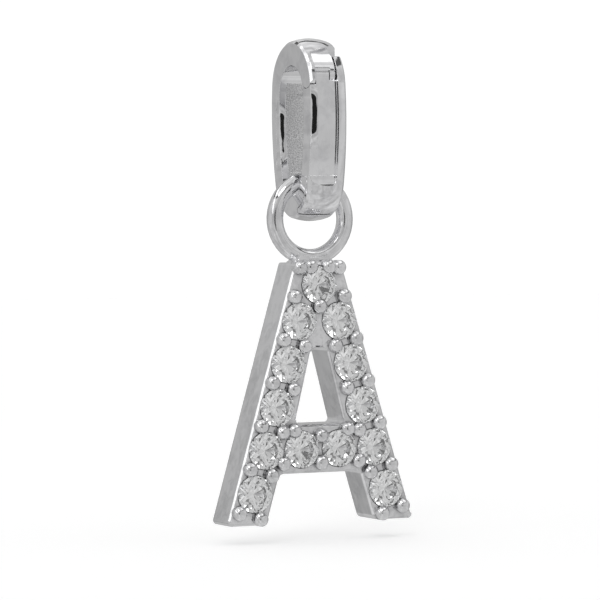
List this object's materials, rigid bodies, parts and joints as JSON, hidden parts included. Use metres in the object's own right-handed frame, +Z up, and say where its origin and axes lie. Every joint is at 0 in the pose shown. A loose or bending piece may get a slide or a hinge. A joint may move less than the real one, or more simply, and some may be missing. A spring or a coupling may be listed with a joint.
{
  "type": "initial pendant",
  "caption": "Letter A pendant set with round clear stones in bead prongs, hanging by its cast ring from a hinged oval clip bail.",
  "frame": {"origin": "inside top of the bail's opening, where a chain bears", "axes": "+X to the viewer's right, -Y toward the viewer, +Z up, as it hangs"},
  "size_m": [0.0078, 0.004, 0.0188],
  "materials": {
    "bail_silver": "polished silver, satin inside the back limb",
    "gate_silver": "polished silver",
    "pin_silver": "polished silver",
    "letter_silver": "polished cast silver",
    "stone": "clear faceted stone"
  },
  "bodies": {
    "bail": {"bail_body": "bail_silver", "hinge_pin": "pin_silver"},
    "gate": {"bail_gate": "gate_silver"},
    "letter": {"letter": "letter_silver", "stone_01": "stone", "stone_02": "stone", "stone_03": "stone", "stone_04": "stone", "stone_05": "stone", "stone_06": "stone", "stone_07": "stone", "stone_08": "stone", "stone_09": "stone", "stone_10": "stone", "stone_11": "stone", "stone_12": "stone", "stone_13": "stone"}
  },
  "joints": [
    {"name": "gate_hinge", "type": "hinge", "parent": "bail", "child": "gate", "pos_m": [0, -0.00139, -0.00046], "axis": [-1, 0, 0], "range_deg": [0, 45]},
    {"name": "letter_swing", "type": "hinge", "parent": "bail", "child": "letter", "pos_m": [0, 0, -0.00596], "axis": [0, 1, 0], "range_deg": [-80, 80]}
  ]
}
